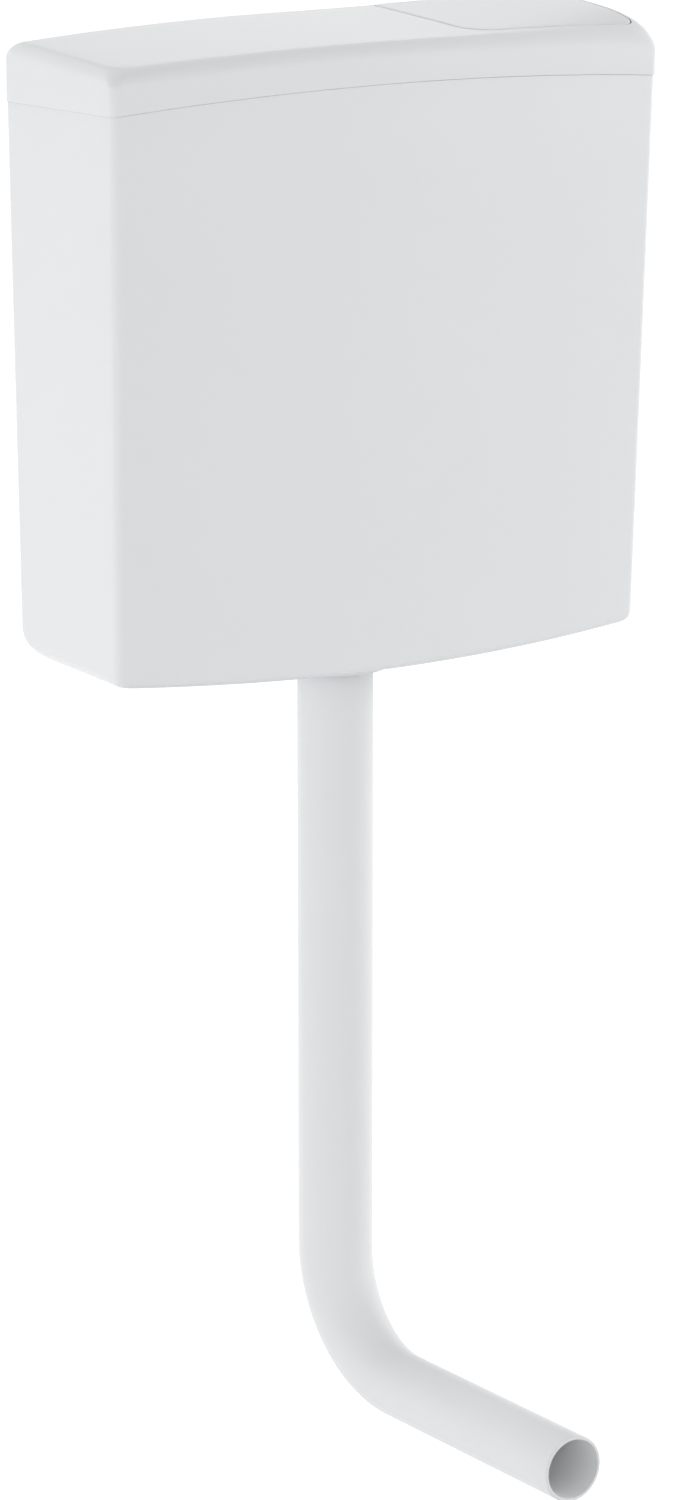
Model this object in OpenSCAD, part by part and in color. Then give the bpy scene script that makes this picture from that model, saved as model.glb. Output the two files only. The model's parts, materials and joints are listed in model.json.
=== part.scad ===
// Wall-hung toilet cistern with lift-off lid, flush key, flush valve, float fill valve and flush bend.
// Frame: +Z up, the front faces -Y, the wall is the plane y = 0, X runs to the right seen from the front.
// Origin: midway between the two wall fixing holes, on the wall plane. Millimetres.
// Heights named _h or _z are counted from the bottom corners of the tank; hang() moves them to the origin.

/* [Tank] */
// width across the seam
tank_w = 400; // [380:1:460]
// depth of the sides at the seam
tank_d = 140; // [136:1:165]
// how far the middle of the front stands ahead of its corners
front_bow = 12; // [4:1:20]
// wall thickness
wall = 4.2; // [3.6:0.1:5.5]
// draft angle of the sides in degrees
side_draft = 0.85; // [0.2:0.05:1.6]
// draft angle of the front in degrees
front_draft = 1.75; // [0.2:0.05:2.2]
// radius of the upright front corners
corner_r = 5; // [4:0.5:9]
// how far the middle of the bottom hangs below its corners
bottom_arch = 8; // [4:0.5:12]
// radius of the bottom edge along the front
bottom_r = 4; // [2:0.5:6]
// radius of the bottom edges along the sides
bottom_side_r = 7; // [4:0.5:12]
// height of the curved cut-back along the rear bottom edge
heel_h = 16; // [10:1:26]
// depth of that cut-back
heel_d = 40; // [20:1:44]
// height of the seam at the front corners
seam_h = 362; // [352:1:400]
// rise of the seam to the middle
seam_arch = 9; // [4:0.5:12]
// fall of the seam from front to back
seam_drop = 5.6; // [3:0.1:10]
// height of the lip under the lid
lip_h = 10; // [6:0.5:13]
// height of the wall fixing holes
fix_h = 325; // [312:1:330]
// distance of the wall fixing holes from the sides
fix_in = 60; // [50:1:64]
// radius of the wall fixing holes
fix_r = 4.5; // [3:0.1:6]

/* [Lid] */
// how far the lid stands out over the tank
lid_over = 0.7; // [0.2:0.1:1.2]
// wall thickness of the lid
lid_wall = 2.8; // [2.2:0.1:3.2]
// height of the lid at its back corners
lid_back_h = 38; // [34:0.5:44]
// height of the lid at its front corners
lid_front_h = 27.5; // [24:0.5:34]
// rise of the lid to the middle
lid_arch = 8; // [5:0.5:11]
// further rise of the lid towards its right end, where the key is
lid_rise = 12; // [0:0.5:14]
// radius of the top edge
lid_edge_r = 10; // [6:0.5:12]
// plan radius of the top corners
lid_corner_r = 14; // [12:1:22]
// open seam under the lid
seam_gap = 0.2; // [0.2:0.1:1]

/* [Flush key] */
// distance of the key's right end from the side of the tank
key_in = 10; // [9:0.5:16]
// length of the key
key_len = 124.5; // [118:0.5:132]
// width of the lid in front of the key, at the corners
key_rim = 9; // [8.5:0.5:16]
// distance of the key's back edge from the wall
key_back = 8; // [8:0.5:14]
// wall thickness of the key
key_wall = 2.5; // [2:0.1:3]
// gap around the key
key_gap = 1; // [0.7:0.1:1.5]
// radius of the key's axle
axle_r = 2; // [1.5:0.1:2.5]
// distance of the plunger from the key's left end
plunger_in = 62.5; // [57:0.5:64]

/* [Lever] */
// length of the lever's short arm
short_arm = 24; // [20:0.5:26]
// height of the lever
lever_t = 8; // [7:0.5:9]
// width of the lever
lever_w = 10; // [8:0.5:12]
// radius of the lever pin
pin_r = 2.5; // [2:0.1:3]

/* [Flush valve] */
// distance of the outlet axis from the wall
outlet_y = 70; // [67:0.5:74]
// radius of the seat's flange
flange_r = 42; // [40:0.5:44]
// thickness of the outlet gasket
gasket_t = 2.5; // [1.5:0.1:4]
// height of the outlet nut
nut_h = 10; // [6:0.5:14]
// height of the basket around the valve
basket_h = 126; // [110:1:150]
// outside radius of the overflow tube
tube_r = 16; // [14:0.5:18]
// height of the overflow edge
over_h = 300; // [260:1:315]
// radius of the sealing disc
seal_r = 32; // [30:0.5:34]
// height of the valve's float
vfloat_h = 45; // [30:1:60]

/* [Fill valve] */
// height of the water inlet
inlet_h = 300; // [290:1:302]
// outside radius of the inlet thread, half-inch pipe thread
inlet_r = 10.48; // [8.28:0.01:13.22]
// how far the inlet stands out of the tank
inlet_out = 20; // [16:1:30]
// radius of the float
float_r = 27; // [22:0.5:28]
// height of the float
float_h = 60; // [40:1:70]
// distance from the arm's pivot to the float rod
arm_len = 28; // [26:0.5:32]
// angle of the float arm when the tank is empty
arm_rest = 14.3; // [8:0.1:15]

/* [Liner] */
// thickness of the foam liner
liner_t = 10; // [6:0.5:12]
// height of the liner's top edge
liner_h = 250; // [200:1:270]

/* [Flush pipe] */
// outside diameter of the pipe
pipe_od = 50; // [44:0.5:52]
// outside diameter of the leg to the pan
leg_od = 44; // [38:0.5:50]
// wall thickness of the pipe
pipe_wall = 2.5; // [1.8:0.1:3]
// depth of the bend's start under the bottom corners
pipe_drop = 416; // [200:1:500]
// centre-line radius of the bend
bend_r = 79; // [70:1:110]
// straight length of the leg
leg_len = 186; // [80:1:250]
// turn of the leg to the right in degrees
leg_turn = 4; // [-30:1:30]

/* [Hidden] */
$fn = 64;
// points along the outlines and steps of the bend
corner_n = 4;
front_n = 14;
side_n = 8;
bend_n = 14;
bend_fn = 40;
// clearances: nested parts that do not move, running fits, plain gaps, threads and sliding lips
nest = 0.05;
run = 0.05;
slack = 0.3;
thread = 0.3;
lip_gap = 0.4;
// overlap of cutters and of parts of one moulding
over = 1;
white = [0.93, 0.94, 0.95];
ivory = [0.80, 0.83, 0.84];
grey = [0.55, 0.58, 0.60];
blue = [0.35, 0.50, 0.65];
black = [0.12, 0.12, 0.13];
foam = [0.86, 0.88, 0.90];
steel = [0.70, 0.71, 0.72];

// tank: rim, bosses and heights of the rings round the bottom
rear_r = 3;
inner_r = 1.5;
boss_up = 0.8;
lip_inset = lid_wall - lid_over + lip_gap;
lip_back = lid_wall + lip_gap;
rim_in = wall + boss_up;
rim_low = 12;
half_0 = tank_w/2 - seam_h*tan(side_draft);
depth_0 = tank_d - seam_h*tan(front_draft);
floor_c = [0, -(depth_0 + heel_d)/2];
fix_x = tank_w/2 - fix_in;
fix_boss_r = fix_r + 6;
base_steps = concat(
    [for (k = [0, 0.15, 0.5, 1]) k*bottom_r],
    [for (k = [1:3]) bottom_r + (heel_h - bottom_r)*k/3]
);

// outlet: levels upward from the foot of the spigot, and radii
pad_lo = -bottom_arch - lip_gap;
pad_hi = -bottom_arch + wall + boss_up;
pad_r = flange_r + 4;
seat_lo = pad_hi + gasket_t;
seat_hi = seat_lo + 4.5;
rim_hi = seat_hi + 5;
pipe_r = pipe_od/2;
leg_r = leg_od/2;
socket_r = pipe_r + 0.6;
spigot_r = socket_r + 3.4;
groove_r = socket_r + 1.8;
seat_bore = pipe_r - 1;
rim_r = spigot_r - 0.5;
spigot_lo = pad_lo - nut_h - 1.6;
groove_lo = spigot_lo + 2.5;
groove_hi = groove_lo + 6;
pipe_top = groove_hi + 5;
grip_t = 1.5;

// flush valve: parts on the overflow tube
disc_t = 3;
tube_t = 2;
clip_h = 3.5;
vfloat_lo = rim_hi + 31;
vfloat_r = seal_r - 2;
yoke_h = 18;
yoke_lo = over_h - 22;

// key
key_r = tank_w/2 - key_in;
key_l = key_r - key_len;
key_front = tank_d - key_rim;
key_mid = (key_l + key_r)/2;
key_hw = (key_r - key_l)/2;
key_c = [key_mid, -(key_front + key_back)/2];
key_flush = 0.3;
key_skirt = 6;
key_radii = [20, 10, 6, 6];
key_edge = 1.2;
ear_in = 24;
ear_r = 3.5;
ear_hw = 3;
stud_r = 3;
stud_h = 7;
key_boss_r = 7;
lug_hw = 4;
lug_t = 4;
lug_back = key_back - key_gap - lug_t/2 - 0.2;
lug_front = key_front + key_gap + lug_t/2 + 0.2;
axle_x = key_l + 8;
axle_z = lid_z(axle_x, -key_front) - key_skirt - axle_r - 3.4;
boss_z = axle_z - axle_r;
plunger_x = key_l + plunger_in;

// lever, its bracket and the yoke's cross bar
lever_x = plunger_x - short_arm;
lever_z = seam_h - 10;
lever_top = lever_z + lever_t/2;
lever_end = 7;
hub_r = lever_t/2 + 3;
fork_in = lever_w/2 + 0.5;
fork_t = 3.5;
fork_r = 8;
shelf_z = lever_z - 14;
shelf_t = 4;
bracket_front = outlet_y + fork_in + fork_t + 2;
plate_hw = 12;
plate_t = 4;
plate_h = 46;
plate_y = wall + slack;
rail_t = 3;
rail_lip = 4;
rail_h = plate_h - 12;
rib_t = 3;
tip_r = 4;
tip_z = lever_top + lip_gap + tip_r;
bar_r = 3;
bar_z = lever_top + lip_gap + bar_r;
bar_eye_r = 5;

// fill valve
liner_gap = 0.5;
fill_x = half_0 - wall - liner_gap - liner_t - float_r - 4;
boss_in = half_w(inlet_h) - wall - boss_up;
boss_out = half_w(inlet_h) + boss_up;
washer_t = 2.5;
washer_in = boss_in - washer_t;
inlet_flange_r = inlet_r + 5.5;
inlet_bore = inlet_r - 4;
inlet_nut_h = 8;
runout_w = 1;
runout_d = 0.8;
inlet_end = boss_out + inlet_out;
head_r = 15;
head_hi = inlet_h + 18;
column_r = 9;
column_h = 150;
column_lo = inlet_h - column_h;
stop_z = column_lo + 22;
float_lo = stop_z + slack;
float_hi = float_lo + float_h;
float_t = 2;
float_top_t = 3;
rod_boss_r = 6;
rod_boss_h = 16;
rod_in = 6;
diaphragm_t = 2.5;
cap_lo = head_hi + diaphragm_t;
cap_hi = cap_lo + 7.5;
arm_z = cap_hi + 9;
arm_pin_r = 2;
arm_pin_hl = 11;
arm_w = 10;
arm_eye_r = 5;
arm_ear_t = 3.5;
rod_r = 2.5;
rod_collar = 3;
fork_z = arm_z - arm_len*tan(arm_rest);
fork_gap = 4;

// sizes of the moulded body at height h
function half_w(h) = tank_w/2 - (seam_h - h)*tan(side_draft);
function side_d(h) = tank_d - (seam_h - h)*tan(front_draft);

// heights of the bottom, of the seam and of the lid's top
function arch(x) = 1 - pow(2*x/tank_w, 2);
function floor_z(x) = -bottom_arch*(1 - pow(x/half_0, 2));
function seam_z(x, y) = seam_h - seam_drop*(1 + y/tank_d) + seam_arch*arch(x);
function lid_fall() = lid_back_h - seam_drop - lid_front_h;
function front_y(x) = tank_d + lid_over + front_bow*arch(x);
function lid_more(x, y) = x > 0 ? lid_rise*(1 - arch(x))*(1 - pow(-y/front_y(x), 6)) : 0;
function lid_z(x, y) =
    seam_h - seam_drop + lid_back_h + lid_fall()*y/tank_d + lid_arch*arch(x) + lid_more(x, y);
function key_z(x, y) = lid_z(x, y) + key_flush;

// set-in of a rounded bottom edge and of the rear cut-back at height h above the bottom
function edge_in(r, h) = h < r ? r - sqrt(pow(r, 2) - pow(r - h, 2)) : 0;
function heel_in(h) = h < heel_h ? heel_d*(1 - sqrt(1 - pow(1 - h/heel_h, 2))) : 0;

// outline: rounded rectangle whose front bows out, counter-clockwise from the front left corner
function arc(c, r, a, n) = [for (i = [0:n]) c + r*[cos(a + 90*i/n), sin(a + 90*i/n)]];
function between(p, q, n) = [for (i = [1:n - 1]) p + (q - p)*i/n];
function round_rect(w, d, r) = concat(
    arc([-w + r[0], -d + r[0]], r[0], 180, corner_n),
    between([-w + r[0], -d], [w - r[1], -d], front_n),
    arc([w - r[1], -d + r[1]], r[1], 270, corner_n),
    between([w, -d + r[1]], [w, -r[2]], side_n),
    arc([w - r[2], -r[2]], r[2], 0, corner_n),
    between([w - r[2], 0], [-w + r[3], 0], front_n),
    arc([-w + r[3], -r[3]], r[3], 90, corner_n),
    between([-w, -r[3]], [-w, -d + r[0]], side_n)
);
function plan(w, front, back, r, bow) =
    let (d = front - back)
    [for (p = round_rect(w, d, r)) [p.x, -back + p.y*(1 + bow/d*(1 - pow(p.x/w, 2)))]];
function body_plan(h, inset, back, r, tuck = 0) =
    plan(half_w(h) - inset - tuck, side_d(h) - inset, back, [r, r, rear_r, rear_r], front_bow);
function key_plan(grow, r) =
    [for (p = plan(key_hw + grow, key_front + grow, key_back - grow, r, 0)) p + [key_mid, 0]];
function grown(r, by) = [for (v = r) max(v + by, 0.5)];
function shrunk(pts, c, s) = [for (p = pts) c + s*(p - c)];

// outlines laid on the moulded surfaces
function on_floor(pts, up) = [for (p = pts) [p.x, p.y, floor_z(p.x) + up]];
function on_seam(pts, up) = [for (p = pts) [p.x, p.y, seam_z(p.x, p.y) + up]];
function on_lid(pts, up) = [for (p = pts) [p.x, p.y, lid_z(p.x, p.y) + up]];
function on_key(pts, up) = [for (p = pts) [p.x, p.y, key_z(p.x, p.y) + up]];
function level(pts, z) = [for (p = pts) [p.x, p.y, z]];
function base_plan(h, t) =
    let (
        inset = edge_in(bottom_r, h),
        back = max(heel_in(h), inset),
        tuck = edge_in(bottom_side_r, h) - inset
    )
    body_plan(h + t, t + inset, t + back, max(corner_r - t, inner_r), tuck);
function base_ring(h, t) = on_floor(base_plan(h, t), h + t);
function floor_ring(s, t) = on_floor(shrunk(base_plan(0, t), floor_c, s), t);
function floor_mid(t) = [floor_c.x, floor_c.y, floor_z(0) + t];

// skin over a row of outlines, closed at both ends
module loft(rings, start, end) {
    n = len(rings[0]);
    m = len(rings);
    polyhedron(
        points = concat([for (r = rings) each r], [start, end]),
        faces = concat(
            [for (i = [0:m - 2], j = [0:n - 1])
                each let (k = (j + 1) % n, a = i*n, b = a + n)
                [[a + j, b + j, b + k], [a + j, b + k, a + k]]],
            [for (j = [0:n - 1]) [m*n, j, (j + 1) % n]],
            [for (j = [0:n - 1]) [m*n + 1, (m - 1)*n + (j + 1) % n, (m - 1)*n + j]]
        )
    );
}

// skin over a row of outlines whose last one joins the first
module ring_loft(rings) {
    n = len(rings[0]);
    m = len(rings);
    polyhedron(
        points = [for (r = rings) each r],
        faces = [for (i = [0:m - 1], j = [0:n - 1])
            each let (k = (j + 1) % n, a = i*n, b = ((i + 1) % m)*n)
            [[a + j, b + k, b + j], [a + j, a + k, b + k]]]
    );
}

module hang() translate([0, 0, -fix_h]) children();
module at_outlet() hang() translate([0, -outlet_y, 0]) children();
module at_fill() hang() translate([fill_x, -outlet_y, 0]) children();
module along_x() rotate([0, 90, 0]) children();
module along_y() rotate([90, 0, 0]) children();

// round bar and pipe from level a to level b
module rod(r, a, b) translate([0, 0, a]) cylinder(r = r, h = b - a);
module pipe(r_out, r_in, a, b) difference() {
    rod(r_out, a, b);
    rod(r_in, a - over, b + over);
}

// block from corner p to corner q
module block(p, q) translate(p) cube(q - p);

// tank with rim, outlet pad, inlet boss, fixing bosses and rails for the lever bracket
module tank_shell() {
    rim = body_plan(seam_h, 0, 0, corner_r);
    lip = body_plan(seam_h, lip_inset, lip_back, max(corner_r - lip_inset, inner_r));
    mouth = body_plan(seam_h, rim_in, rim_in, inner_r);
    throat = body_plan(seam_h - 2*rim_low, wall, wall, inner_r);
    n = len(base_steps);
    loft(
        concat(
            [for (s = [0.4, 0.75]) floor_ring(s, 0)],
            [for (h = base_steps) base_ring(h, 0)],
            [on_seam(rim, 0), on_seam(lip, 0), on_seam(lip, lip_h)],
            [on_seam(mouth, lip_h), on_seam(mouth, -rim_low), on_seam(throat, -2*rim_low)],
            [for (i = [1:n]) base_ring(base_steps[n - i], wall)],
            [for (s = [0.75, 0.4]) floor_ring(s, wall)]
        ),
        floor_mid(0),
        floor_mid(wall)
    );
}
module bracket_rail() {
    side = plate_hw + slack;
    back = wall - over;
    face = plate_y + plate_t + slack;
    linear_extrude(height = rail_h) polygon([
        [side, -back], [side + rail_t, -back], [side + rail_t, -face - rail_t],
        [side - rail_lip, -face - rail_t], [side - rail_lip, -face], [side, -face]
    ]);
}
module bracket_rails() translate([lever_x, 0, shelf_z - plate_h]) {
    bracket_rail();
    mirror([1, 0, 0]) bracket_rail();
    block([-plate_hw - rail_t, -plate_y - plate_t, -rail_lip], [plate_hw + rail_t, over - wall, -slack]);
}
module at_fixings() for (s = [-1, 1]) translate([s*fix_x, 0, fix_h]) along_y() children();
module at_inlet() translate([0, -outlet_y, inlet_h]) along_x() children();
module tank() hang() color(white) difference() {
    union() {
        tank_shell();
        translate([0, -outlet_y, 0]) rod(pad_r, pad_lo, pad_hi);
        at_inlet() rod(inlet_flange_r + 2, boss_in, boss_out);
        at_fixings() rod(fix_boss_r, over, wall + 2);
        bracket_rails();
    }
    translate([0, -outlet_y, 0]) rod(spigot_r + 2*thread, pad_lo - over, pad_hi + over);
    translate([0, -outlet_y, 0]) rod(flange_r + 1, pad_hi, rim_hi + 20);
    at_inlet() rod(inlet_r + thread, boss_in - over, boss_out + over);
    at_fixings() rod(fix_r, -over, wall + 2 + over);
}

// foam liner with a round opening over the outlet
module tank_liner() hang() color(foam) difference() {
    t = wall + liner_gap;
    u = t + liner_t;
    n = len(base_steps);
    loft(
        concat(
            [floor_ring(0.6, t)],
            [for (h = base_steps) base_ring(h, t)],
            [level(body_plan(liner_h, t, t, inner_r), liner_h)],
            [level(body_plan(liner_h, u, u, inner_r), liner_h)],
            [for (i = [1:n]) base_ring(base_steps[n - i], u)],
            [floor_ring(0.6, u)]
        ),
        floor_mid(t),
        floor_mid(u)
    );
    translate([0, -outlet_y, 0]) rod(pad_r + 4, pad_lo - over, rim_hi + 50);
}

// lid shell with the key's opening and the lugs for its axle
function lid_inset(a, r) = r*(1 - cos(a)) - lid_over + 0.3*sin(a);
function lid_round(a) = corner_r + (lid_corner_r - corner_r)*sin(a);
function lid_ring(a, t) =
    let (r = lid_edge_r - t, inset = lid_inset(a, r) + t)
    on_lid(body_plan(seam_h, inset, inset + lid_over, max(lid_round(a) - t, inner_r)), -t - r*(1 - sin(a)));
function lid_foot(t) =
    on_seam(body_plan(seam_h, t - lid_over, t, max(corner_r - t, inner_r)), seam_gap);
function lid_cap(s, t) =
    on_lid(shrunk(body_plan(seam_h, lid_edge_r, lid_edge_r, lid_corner_r), [0, -tank_d/2], s), -t);
module lid_shell() loft(
    concat(
        [for (s = [0.25, 0.5, 0.75, 0.9]) lid_cap(s, lid_wall)],
        [for (a = [90, 60, 30, 0]) lid_ring(a, lid_wall)],
        [lid_foot(lid_wall), lid_foot(0)],
        [for (a = [0:18:90]) lid_ring(a, 0)],
        [for (s = [0.9, 0.75, 0.5, 0.25]) lid_cap(s, 0)]
    ),
    [0, -tank_d/2, lid_z(0, -tank_d/2) - lid_wall],
    [0, -tank_d/2, lid_z(0, -tank_d/2)]
);
module at_axle() translate([axle_x, 0, axle_z]) along_y() children();
module axle_lug(y) block(
    [axle_x - lug_hw, y - lug_t/2, axle_z - lug_hw],
    [axle_x + lug_hw, y + lug_t/2, lid_z(axle_x, y) - lid_wall/2]
);
module lid() hang() color(white) difference() {
    union() {
        lid_shell();
        axle_lug(-lug_back);
        axle_lug(-lug_front);
    }
    linear_extrude(height = 2*seam_h) polygon(key_plan(key_gap, grown(key_radii, key_gap)));
    at_axle() rod(axle_r + nest, lug_back - lug_t, lug_front + lug_t);
}

// rod that the key turns on
module key_axle() hang() color(steel) at_axle() rod(axle_r, lug_back - lug_t/2, lug_front + lug_t/2);

// flush key: a cap that lies level in the lid's raised end
module key_shell() {
    foot = key_plan(0, key_radii);
    inner = key_plan(-key_wall, grown(key_radii, -key_wall));
    loft(
        concat(
            [for (s = [0.3, 0.6, 0.85]) on_key(shrunk(inner, key_c, s), -key_wall)],
            [on_key(inner, -key_wall), on_lid(inner, -key_skirt), on_lid(foot, -key_skirt)],
            [for (a = [0, 30, 60, 90])
                on_key(
                    key_plan(-key_edge*(1 - cos(a)), grown(key_radii, -key_edge*(1 - cos(a)))),
                    -key_edge*(1 - sin(a))
                )],
            [for (s = [0.85, 0.6, 0.3])
                on_key(shrunk(key_plan(-key_edge, grown(key_radii, -key_edge)), key_c, s), 0)]
        ),
        [key_c.x, key_c.y, key_z(key_c.x, key_c.y) - key_wall],
        [key_c.x, key_c.y, key_z(key_c.x, key_c.y)]
    );
}
module key_ear(y) {
    block([axle_x - ear_r, y - ear_hw, axle_z], [axle_x + ear_r, y + ear_hw, key_z(axle_x, y) - key_wall/2]);
    translate([axle_x, y, axle_z]) along_y() rod(ear_r, -ear_hw, ear_hw);
}
module at_plunger() translate([plunger_x, -outlet_y, 0]) children();
module flush_key() hang() color(white) difference() {
    union() {
        key_shell();
        key_ear(-key_back - ear_in);
        key_ear(-key_front + ear_in);
        at_plunger() rod(key_boss_r, boss_z, key_z(plunger_x, -outlet_y) - key_wall/2);
    }
    at_axle() rod(axle_r + run, key_back + ear_in/2, key_front - ear_in/2);
    at_plunger() rod(stud_r + nest, boss_z - over, boss_z + stud_h + over);
}

// post under the key that pushes the lever
module key_plunger() hang() color(ivory) at_plunger() {
    rod(stud_r, boss_z - over, boss_z + stud_h);
    rod(tip_r, tip_z, boss_z);
    translate([0, 0, tip_z]) sphere(r = tip_r);
}

// bracket that hangs in the tank's rails and carries the lever
module bracket_rib(x) translate([x, 0, 0]) rotate([90, 0, 90]) linear_extrude(height = rib_t) polygon([
    [-plate_y - over, shelf_z - over], [-plate_y - over, shelf_z - plate_h + 2],
    [-plate_y - plate_t, shelf_z - plate_h + 2], [3 - bracket_front, shelf_z - 2*shelf_t],
    [3 - bracket_front, shelf_z - over]
]);
module lever_bracket() hang() color(ivory) translate([lever_x, 0, 0]) difference() {
    union() {
        block([-plate_hw, -plate_y - plate_t, shelf_z - plate_h], [plate_hw, -plate_y, shelf_z]);
        block([-plate_hw, -bracket_front, shelf_z - shelf_t], [plate_hw, -plate_y, shelf_z]);
        for (s = [-1, 1]) translate([0, -outlet_y + s*(fork_in + fork_t/2), 0]) {
            block([-fork_r, -fork_t/2, shelf_z - over], [fork_r, fork_t/2, lever_z]);
            translate([0, 0, lever_z]) along_y() rod(fork_r, -fork_t/2, fork_t/2);
        }
        bracket_rib(rail_lip - plate_hw);
        bracket_rib(plate_hw - rail_lip - rib_t);
    }
    translate([0, -outlet_y, lever_z]) along_y() rod(pin_r + nest, -3*fork_r, 3*fork_r);
}

// pin of the lever, with a head at the front
module lever_pin() hang() color(steel) translate([lever_x, -outlet_y, lever_z]) along_y() {
    side = fork_in + fork_t;
    rod(pin_r, -side - 1, side + 0.5);
    rod(pin_r + 1.5, side, side + 2);
}

// two-armed lever from the plunger to the yoke
module lift_lever() hang() color(grey) translate([lever_x, -outlet_y, lever_z]) difference() {
    union() {
        block([-lever_x - lever_end, -lever_w/2, -lever_t/2], [short_arm + lever_end, lever_w/2, lever_t/2]);
        along_y() rod(hub_r, -lever_w/2, lever_w/2);
    }
    for (s = [-1, 1]) translate([0, s*lever_w/2, 0])
        block([2*lever_end - lever_x, -lever_w/3, -lever_t/4], [-2*hub_r, lever_w/3, lever_t/4]);
    along_y() rod(pin_r + run, -lever_w, lever_w);
}

// outlet body: flange, sealing rim and threaded spigot with the pipe's socket
module valve_seat() at_outlet() color(ivory) rotate_extrude() polygon([
    [socket_r, spigot_lo], [spigot_r, spigot_lo], [spigot_r, seat_lo], [flange_r, seat_lo],
    [flange_r, seat_hi], [rim_r, seat_hi], [rim_r, rim_hi], [seat_bore, rim_hi],
    [seat_bore, pipe_top + 0.5], [socket_r, pipe_top + 0.5], [socket_r, groove_hi], [groove_r, groove_hi],
    [groove_r, groove_lo], [socket_r, groove_lo]
]);
module outlet_gasket() at_outlet() color(black) pipe(flange_r, spigot_r + thread, pad_hi, seat_lo);
module outlet_nut() at_outlet() color(white) difference() {
    union() {
        rod(spigot_r + 6, pad_lo - nut_h, pad_lo);
        for (a = [0:45:315]) rotate(a)
            block([spigot_r + 2, -2*grip_t, pad_lo - nut_h], [spigot_r + 6 + grip_t, 2*grip_t, pad_lo - 2]);
    }
    rod(spigot_r + thread, pad_lo - nut_h - over, pad_lo + over);
}
module pipe_seal() at_outlet() color(black)
    pipe(groove_r - nest, pipe_r + run, groove_lo + nest, groove_hi - nest);

// open basket that stands on the seat and guides the overflow tube
module valve_basket() at_outlet() color(blue) {
    out = flange_r - 1;
    in = seal_r + 4.5;
    top = seat_hi + basket_h;
    pipe(out, in, seat_hi, seat_hi + 5);
    for (a = [45:90:315]) rotate(a) block([in + 0.4, -4, seat_hi + 3], [out - 0.6, 4, top - 3]);
    difference() {
        rod(out, top - 4, top);
        rod(tube_r + slack, top - 5, top + 1);
        for (a = [0:60:300]) rotate(a) translate([(out + tube_r)/2, 0, 0]) rod(6, top - 5, top + 1);
    }
    pipe(tube_r + slack + 2.5, tube_r + slack, top - 3, top + 8);
}

// overflow tube with the disc that presses the seal
module overflow_tube() at_outlet() color(ivory) rotate_extrude() polygon([
    [tube_r - tube_t, rim_hi - clip_h], [tube_r, rim_hi - clip_h], [tube_r, rim_hi + disc_t],
    [seal_r, rim_hi + disc_t], [seal_r, rim_hi + 2*disc_t], [tube_r, rim_hi + 2*disc_t], [tube_r, over_h],
    [tube_r - tube_t, over_h]
]);
module flush_seal() at_outlet() color(black) pipe(seal_r, tube_r + nest, rim_hi, rim_hi + disc_t);
module seal_retainer() at_outlet() color(grey) pipe(tube_r + 6, tube_r + nest, rim_hi - clip_h, rim_hi);

// cup-shaped float on the overflow tube, open below
module valve_float() at_outlet() color(foam) {
    hi = vfloat_lo + vfloat_h;
    in = tube_r + tube_t;
    out = vfloat_r - tube_t;
    rotate_extrude() polygon([
        [tube_r + nest, vfloat_lo], [in, vfloat_lo], [in, hi - tube_t], [out, hi - tube_t],
        [out, vfloat_lo], [vfloat_r, vfloat_lo], [vfloat_r, hi - tube_t], [out, hi], [tube_r + nest, hi]
    ]);
}

// clamp on top of the overflow tube with the cross bar that the lever lifts
module lift_yoke() at_outlet() color(grey) difference() {
    union() {
        rod(tube_r + 3.5, yoke_lo, yoke_lo + yoke_h);
        for (s = [-1, 1]) translate([0, s*(tube_r + tube_t + 0.5), 0]) {
            block([-bar_eye_r, -tube_t, yoke_lo], [bar_eye_r, tube_t, bar_z]);
            translate([0, 0, bar_z]) along_y() rod(bar_eye_r, -tube_t, tube_t);
        }
        translate([0, 0, bar_z]) along_y() rod(bar_r, -tube_r - tube_t, tube_r + tube_t);
    }
    rod(tube_r + nest, yoke_lo - over, over_h + over);
}

// fill valve: inlet stub through the side wall, head and guide column
module along_inlet() translate([-fill_x, 0, inlet_h]) along_x() children();
module fill_valve_body() at_fill() color(ivory) difference() {
    nut_end = boss_out + inlet_nut_h;
    union() {
        along_inlet() rod(inlet_r, fill_x, inlet_end);
        along_inlet() rod(inlet_flange_r, washer_in - 3, washer_in);
        rod(head_r, inlet_h - head_r, head_hi);
        rod(column_r, column_lo, inlet_h);
        rod(column_r + 3.5, stop_z - 4, stop_z);
    }
    along_inlet() rod(inlet_bore, fill_x, inlet_end + over);
    along_inlet() pipe(inlet_r + over, inlet_r - runout_d, nut_end, nut_end + runout_w);
    rod(column_r - 3, column_lo - over, head_hi + over);
}
module inlet_washer() at_fill() color(black) along_inlet()
    pipe(inlet_flange_r, inlet_r + thread, washer_in, boss_in);
module inlet_nut() at_fill() color(white) along_inlet() difference() {
    translate([0, 0, boss_out]) cylinder(r = inlet_r + 7, h = inlet_nut_h, $fn = 6);
    rod(inlet_r + thread, boss_out - over, boss_out + inlet_nut_h + over);
}
module diaphragm() at_fill() color(black) rod(head_r - 1, head_hi, cap_lo);

// cap over the diaphragm with two ears for the float arm
module at_arm() translate([0, 0, arm_z]) along_x() children();
module fill_valve_cap() at_fill() color(grey) difference() {
    union() {
        rod(head_r, cap_lo, cap_hi);
        for (s = [-1, 1]) translate([s*(arm_w + arm_ear_t + 1)/2, 0, 0]) {
            block([-arm_ear_t/2, -arm_eye_r, cap_hi - over], [arm_ear_t/2, arm_eye_r, arm_z]);
            at_arm() rod(arm_eye_r, -arm_ear_t/2, arm_ear_t/2);
        }
    }
    at_arm() rod(arm_pin_r + nest, -2*arm_w, 2*arm_w);
}
module arm_pin() at_fill() color(steel) at_arm() rod(arm_pin_r, -arm_pin_hl, arm_pin_hl);

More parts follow.
